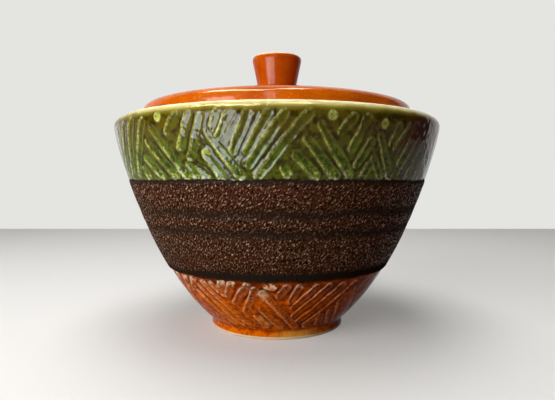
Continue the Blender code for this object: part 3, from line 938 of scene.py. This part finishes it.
def face_materials(piece, materials, chooser):
    """Gives each face one of the materials: the chooser maps the faces' centres to indices."""
    for material in materials:
        piece.data.materials.append(material)
    faces = piece.data.polygons
    centres = np.zeros(len(faces) * 3, np.float32)
    faces.foreach_get("center", centres)
    x, y, z = centres.reshape(-1, 3).T
    faces.foreach_set("material_index", chooser(np.hypot(x, y), z).astype(np.int32))


def build_bowl():
    outside = outside_path()
    values = hatched_wall(outside, FINE_COLUMNS)
    parts = [
        (underside_path(), COARSE_COLUMNS, None),
        (outside, FINE_COLUMNS, values),
        (inside_path(), COARSE_COLUMNS, None),
    ]
    bowl = turned("bowl_glazed", parts, RIM_RADIUS, ATTRIBUTES)
    wall = wall_glaze()
    inside = plain_glaze("inside_glaze", CREAM, DEEP_CREAM, PALE_CREAM, LID_ROUGHNESS, LID_SHINE)
    foot = plain_glaze("foot_glaze", RUST, DEEP_RUST, BRIGHT_RUST, FOOT_ROUGHNESS, RUST_SHINE)

    def chosen(radius, height):
        kind = np.zeros(radius.shape)
        kind[(radius < RIM_CREST_RADIUS) & (height > FLOOR_HEIGHT - 0.001)] = 1
        wall_radius = np.interp(height, *wall_curve()[:, ::-1].T)
        kind[(height < RIM_WIDEST_HEIGHT - 0.002) & (radius > wall_radius - 0.003)] = 0
        kind[(height < FOOT_RECESS + 0.0001) & (radius < FOOT_RADIUS - 0.003)] = 2
        kind[(height < FOOT_CHAMFER)] = 3
        on_seat = (np.abs(height - SEAT_HEIGHT) < SEAT_CORNER) & (radius < GALLERY_RADIUS + 0.0001)
        kind[on_seat & (radius > SEAT_NOSE_RADIUS + 0.0002)] = 3
        return kind

    face_materials(bowl, [wall, inside, foot, bare_clay()], chosen)
    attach(bowl, "bowl")
    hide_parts("bowl")


def build_lid():
    lid = turned("lid_glazed", [(lid_path(), LID_COLUMNS, None)], LID_RADIUS)
    glaze = plain_glaze("lid_glaze", LID_RUST, LID_DEEP_RUST, LID_BRIGHT_RUST, LID_ROUGHNESS, LID_SHINE)

    def chosen(radius, height):
        return (height < LID_BOTTOM + LID_CHAMFER).astype(int)

    face_materials(lid, [glaze, bare_clay()], chosen)
    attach(lid, "lid")
    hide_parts("lid")


def build_knob():
    knob = turned("knob_glazed", [(knob_path(), KNOB_COLUMNS, None)], KNOB_RADIUS)
    colours = (KNOB_RUST, KNOB_DEEP_RUST, LID_RUST)
    glaze = plain_glaze("knob_glaze", *colours, LID_ROUGHNESS, KNOB_SHINE, pale_edge=True)
    knob.data.materials.append(glaze)
    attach(knob, "lid")
    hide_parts("lid_knob")


# Studio

PALE_WALL = srgb(228, 228, 225)
PALE_FLOOR = srgb(204, 202, 199)
BOUNCE_FLOOR = srgb(122, 88, 58)
FLOOR_GLOW = 0.36
WALL_DISTANCE = 0.49
FLOOR_REACH = 3.0
WALL_RIGHT = 0.9
GLARE_CORNERS = [(-24, 0.2), (-11, 0.6), (-14, 1.6), (-56, 1.6), (-46, 0.38)]
GLARE_HEIGHT = 0.003
GLARE = 27.0
GLARE_COLOUR = (0.86, 0.94, 1.0, 1.0)
DIM_ROOM = (0.95, 0.97, 1.0, 1.0)
ROOM = 0.06
ROOM_REACH = 1.6

# Lamps, as (name, place, width, height, power, where it shows, colour), which face the bowl's middle
MIDDLE = (0.0, 0.0, 0.08)
WHITE = (1.0, 1.0, 1.0)
WARM = (1.0, 0.86, 0.56)
LAMPS = (
    ("window", (-0.38, -0.42, 0.24), 0.5, 0.46, 3.8, "diffuse", WHITE),
    ("ceiling", (-0.06, 0.0, 0.75), 0.55, 0.4, 4.4, "diffuse", WHITE),
    ("left_pane", (-0.43, -0.46, 0.15), 0.24, 0.24, 2.3, "gloss", WHITE),
    ("right_pane", (-0.07, -0.8, 0.4), 0.12, 0.7, 1.3, "gloss", WHITE),
    ("skylight", (-0.19, -0.14, 0.6), 0.44, 0.13, 7.0, "gloss", WARM),
    ("right_skylight", (0.07, -0.05, 0.6), 0.18, 0.11, 1.9, "gloss", WARM),
    ("left_card", (-0.46, 0.34, 0.115), 0.3, 0.07, 0.05, "gloss", WHITE),
)


def seen_share(tree):
    """1 for rays that show a background: from the camera, in a gloss reflection or through glass."""
    rays = add_node(tree, "LightPath").outputs
    share = rays["Is Camera Ray"]
    for name in ("Is Glossy Ray", "Is Transmission Ray"):
        share = add_node(tree, "Math", {0: share, 1: rays[name]}, operation="MAXIMUM").outputs[0]
    return share


def stage_sheet(name, corners):
    """A flat sheet round the object. What is returned is its material's node tree, still empty."""
    mesh = bpy.data.meshes.new(name)
    mesh.from_pydata(corners, [], [tuple(range(len(corners)))])
    sheet = new_object(name, mesh)
    material = bpy.data.materials.new(name)
    material.use_nodes = True
    material.node_tree.nodes.clear()
    mesh.materials.append(material)
    return material.node_tree


def glow(tree, colour, strength):
    """Makes a sheet glow by itself."""
    light = add_node(tree, "Emission", {"Color": colour, "Strength": strength})
    add_node(tree, "OutputMaterial", {"Surface": light.outputs[0]})


def glowing_sheet(name, corners, colour, strength):
    """A sheet that only the gloss shows."""
    glow(stage_sheet(name, corners), colour, strength)
    sheet = bpy.data.objects[name]
    for way in ("camera", "diffuse", "transmission", "shadow"):
        setattr(sheet, "visible_" + way, False)


def build_floor():
    """A pale floor that keeps the shadow. What it bounces back on the object is a darker table's light."""
    r, w = FLOOR_REACH, WALL_DISTANCE
    tree = stage_sheet("floor", [(-r, -r, 0), (r, -r, 0), (r, w, 0), (-r, w, 0)])
    seen = seen_share(tree)
    colours = {"Factor": seen, 6: BOUNCE_FLOOR, 7: PALE_FLOOR}
    colour = add_node(tree, "Mix", colours, data_type="RGBA").outputs[2]
    plain = add_node(tree, "BsdfDiffuse", {"Color": colour}).outputs[0]
    light = add_node(tree, "Emission", {"Color": PALE_FLOOR, "Strength": FLOOR_GLOW}).outputs[0]
    both = add_node(tree, "AddShader", {0: plain, 1: light}).outputs[0]
    surface = add_node(tree, "MixShader", {0: seen, 1: plain, 2: both}).outputs[0]
    add_node(tree, "OutputMaterial", {"Surface": surface})


def build_backdrop():
    """A pale wall behind the object, seen by the camera and in reflections."""
    r, q, w = FLOOR_REACH, WALL_RIGHT, WALL_DISTANCE
    tree = stage_sheet("backdrop", [(-r, w, 0), (q, w, 0), (q, w, r), (-r, w, r)])
    glow(tree, PALE_WALL, seen_share(tree))


def build_world():
    """Dim light from all round, and a pale background."""
    world = bpy.data.worlds.new("room")
    world.use_nodes = True
    bpy.context.scene.world = world
    tree = world.node_tree
    tree.nodes.clear()
    dim = add_node(tree, "Background", {"Color": DIM_ROOM, "Strength": ROOM}).outputs[0]
    pale = add_node(tree, "Background", {"Color": PALE_WALL}).outputs[0]
    surface = add_node(tree, "MixShader", {0: seen_share(tree), 1: dim, 2: pale}).outputs[0]
    add_node(tree, "OutputWorld", {"Surface": surface})


def build_lamp(name, place, width, height, power, shows, colour):
    """A rectangle of light that shows only in diffuse light or only in gloss."""
    lamp = bpy.data.lights.new(name, "AREA")
    lamp.color = colour
    lamp.shape = "RECTANGLE"
    lamp.size = width
    lamp.size_y = height
    lamp.energy = power
    light = new_object(name, lamp)
    light.location = place
    light.rotation_euler = (Vector(MIDDLE) - Vector(place)).to_track_quat("-Z", "Y").to_euler()
    light.visible_camera = False
    light.visible_diffuse = shows == "diffuse"
    light.visible_glossy = shows == "gloss"


def build_glare():
    """The window's glare on the floor, which only the gloss shows."""
    corners = []
    for turn, reach in GLARE_CORNERS:
        turn = math.radians(turn)
        corners.append((reach * math.sin(turn), -reach * math.cos(turn), GLARE_HEIGHT))
    glowing_sheet("glare", corners, GLARE_COLOUR, GLARE)


def build_room():
    """The dim room behind the camera and at its sides, which only the gloss shows."""
    q, w, s = WALL_RIGHT, WALL_DISTANCE, ROOM_REACH
    walls = {
        "room_front": [(-s, -s, 0), (q, -s, 0), (q, -s, s), (-s, -s, s)],
        "room_left": [(-s, -s, 0), (-s, w, 0), (-s, w, s), (-s, -s, s)],
        "room_right": [(q, -s, 0), (q, w, 0), (q, w, s), (q, -s, s)],
        "room_top": [(-s, -s, s), (q, -s, s), (q, w, s), (-s, w, s)],
    }
    for name, corners in walls.items():
        glowing_sheet(name, corners, DIM_ROOM, ROOM)


def build_camera():
    data = bpy.data.cameras.new("camera")
    data.lens = LENS
    data.sensor_width = SENSOR
    data.sensor_fit = "HORIZONTAL"
    data.clip_start = 0.01
    camera = new_object("camera", data)
    camera.location = CAMERA_PLACE
    camera.rotation_euler = (math.pi / 2 - CAMERA_TILT, 0.0, 0.0)
    bpy.context.scene.camera = camera


def main():
    bpy.context.scene.view_settings.view_transform = "Standard"
    build_camera()
    build_bowl()
    build_lid()
    build_knob()
    build_floor()
    build_backdrop()
    build_world()
    for lamp in LAMPS:
        build_lamp(*lamp)
    build_glare()
    build_room()


main()
bpy.context.view_layer.update()
